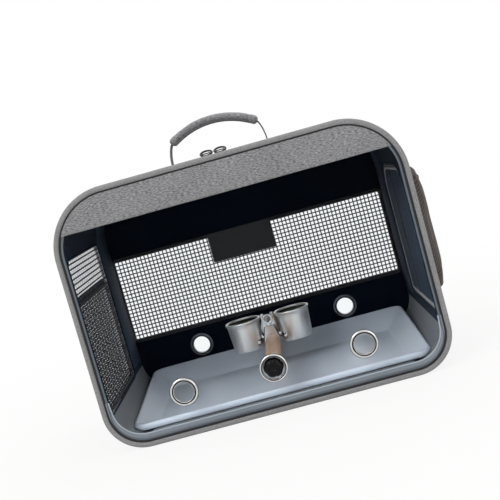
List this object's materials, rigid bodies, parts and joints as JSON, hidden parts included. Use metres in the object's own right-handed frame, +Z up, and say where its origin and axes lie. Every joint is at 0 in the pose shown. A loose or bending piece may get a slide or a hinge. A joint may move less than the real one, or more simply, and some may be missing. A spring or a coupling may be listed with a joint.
{
  "type": "bird travel carrier",
  "caption": "Soft-sided bird travel carrier: clear drop-down front door, mesh back and side window, zipped side door, padded handle, wooden perch with hook-on steel cups, and a droppings tray.",
  "frame": {"origin": "on the ground under the middle of the carrier, centre of the flat base panel's underside", "axes": "+X to the right, the clear front door faces -Y, +Z up"},
  "size_m": [0.4456, 0.2908, 0.3617],
  "materials": {
    "wrap_fabric": "heather grey polyester canvas, padded, fine woven texture",
    "piping_fabric": "heather grey fabric bound over a round cord",
    "navy_lining": "dark navy smooth nylon",
    "grey_lining": "grey wipe-clean coated nylon",
    "black_mesh": "black square woven mesh",
    "elastic": "black ribbed elastic binding",
    "zip_tape": "black woven zip tape",
    "zip_chain": "black moulded coil zip",
    "zip_metal": "dark nickel plated die-cast metal",
    "window_film": "clear glossy vinyl film",
    "eyelet_metal": "nickel plated steel eyelet",
    "pocket_fabric": "dark grey ribbed fabric",
    "label_fabric": "plain dark woven label, left bare",
    "handle_fabric": "heather grey padded sleeve",
    "webbing": "grey ribbed webbing",
    "wood": "natural beech, oiled, fine grain along the length",
    "knob_plastic": "black glossy moulded plastic",
    "cup_steel": "stainless steel, satin spun finish",
    "fitting_steel": "stainless sheet and wire fittings",
    "tray_plastic": "blue grey moulded plastic, satin"
  },
  "bodies": {
    "carrier": {"left_wall": "wrap_fabric", "right_wall": "wrap_fabric", "top_wall": "wrap_fabric", "bottom_wall": "wrap_fabric", "base_panel": "wrap_fabric", "rear_piping": "piping_fabric", "cabin_lining": "navy_lining", "splash_lining": "grey_lining", "floor_board": "grey_lining", "back_panel": "wrap_fabric", "back_mesh": "black_mesh", "label_patch": "label_fabric", "rear_grommets": "eyelet_metal", "left_mesh": "black_mesh", "left_pocket": "black_mesh", "pocket_hem": "elastic", "front_zip_tape": "zip_tape", "front_zip_chain": "zip_chain", "door_hinge_strip": "zip_tape", "side_zip_chain": "zip_chain", "side_hinge_strip": "zip_tape", "handle_straps": "webbing", "handle_patches": "webbing", "perch_dowel": "wood", "perch_washer": "fitting_steel", "perch_saddle": "fitting_steel", "hanger_left": "fitting_steel", "hanger_right": "fitting_steel", "hanger_rivets": "fitting_steel"},
    "front_door": {"door_piping": "piping_fabric", "door_window": "window_film", "door_band": "wrap_fabric", "door_grommets": "eyelet_metal", "door_zip_strip": "zip_tape", "door_zip_chain": "zip_chain"},
    "side_door": {"side_door_panel": "pocket_fabric", "side_door_chain": "zip_chain", "side_pocket": "pocket_fabric", "side_pocket_zip": "zip_chain"},
    "left_slider": {"zip_slider_left": "zip_metal"},
    "right_slider": {"zip_slider_right": "zip_metal"},
    "left_pull": {"zip_pull_left": "zip_metal"},
    "right_pull": {"zip_pull_right": "zip_metal"},
    "side_slider": {"side_zip_slider": "zip_metal"},
    "side_pull": {"side_zip_pull": "zip_metal"},
    "handle": {"handle_grip": "handle_fabric", "handle_webbing": "webbing"},
    "front_knob": {"perch_front_knob": "knob_plastic"},
    "rear_knob": {"perch_rear_knob": "knob_plastic"},
    "clamp_screw": {"clamp_screw": "fitting_steel"},
    "left_cup": {"cup_left": "cup_steel", "cup_left_hook": "fitting_steel", "cup_left_rivets": "fitting_steel"},
    "right_cup": {"cup_right": "cup_steel", "cup_right_hook": "fitting_steel", "cup_right_rivets": "fitting_steel"},
    "tray": {"tray": "tray_plastic"}
  },
  "joints": [
    {"name": "front_door_hinge", "type": "hinge", "parent": "carrier", "child": "front_door", "pos_m": [0, -0.136, 0.004], "axis": [1, 0, 0], "range_deg": [0, 85]},
    {"name": "side_door_hinge", "type": "hinge", "parent": "carrier", "child": "side_door", "pos_m": [0.207, -0.0185, 0.0623], "axis": [0, 1, 0], "range_deg": [0, 95]},
    {"name": "left_slider_run", "type": "slide", "parent": "carrier", "child": "left_slider", "axis": [-1, 0, 0], "range_m": [0, 0.11]},
    {"name": "right_slider_run", "type": "slide", "parent": "carrier", "child": "right_slider", "axis": [1, 0, 0], "range_m": [0, 0.11]},
    {"name": "left_pull_swing", "type": "hinge", "parent": "left_slider", "child": "left_pull", "pos_m": [-0.0093, -0.1243, 0.3126], "axis": [1, 0, 0], "range_deg": [0, 150]},
    {"name": "right_pull_swing", "type": "hinge", "parent": "right_slider", "child": "right_pull", "pos_m": [0.0071, -0.1243, 0.3126], "axis": [1, 0, 0], "range_deg": [0, 150]},
    {"name": "side_slider_run", "type": "slide", "parent": "carrier", "child": "side_slider", "axis": [0, 0, 1], "range_m": [0, 0.13]},
    {"name": "side_pull_swing", "type": "hinge", "parent": "side_slider", "child": "side_pull", "pos_m": [0.21355, 0.0665, 0.0558], "axis": [0, 0, -1], "range_deg": [0, 150]},
    {"name": "handle_drop", "type": "slide", "parent": "carrier", "child": "handle", "axis": [0, 0, -1], "range_m": [0, 0.022], "stiffness_N_per_m": 150, "springref_m": -0.01, "deforming": ["handle_straps"]},
    {"name": "front_knob_turn", "type": "hinge", "parent": "carrier", "child": "front_knob", "pos_m": [0, -0.135, 0.053], "axis": [0, 1, 0], "continuous": true},
    {"name": "rear_knob_turn", "type": "hinge", "parent": "carrier", "child": "rear_knob", "pos_m": [0, 0.145, 0.053], "axis": [0, 1, 0], "continuous": true},
    {"name": "clamp_screw_turn", "type": "hinge", "parent": "carrier", "child": "clamp_screw", "pos_m": [0, 0.018, 0.084], "axis": [0, 0, 1], "continuous": true},
    {"name": "left_cup_lift", "type": "slide", "parent": "carrier", "child": "left_cup", "axis": [0, 0, 1], "range_m": [0, 0.035]},
    {"name": "right_cup_lift", "type": "slide", "parent": "carrier", "child": "right_cup", "axis": [0, 0, 1], "range_m": [0, 0.035]},
    {"name": "tray_slide", "type": "slide", "parent": "carrier", "child": "tray", "axis": [0, -1, 0], "range_m": [0, 0.025]}
  ]
}
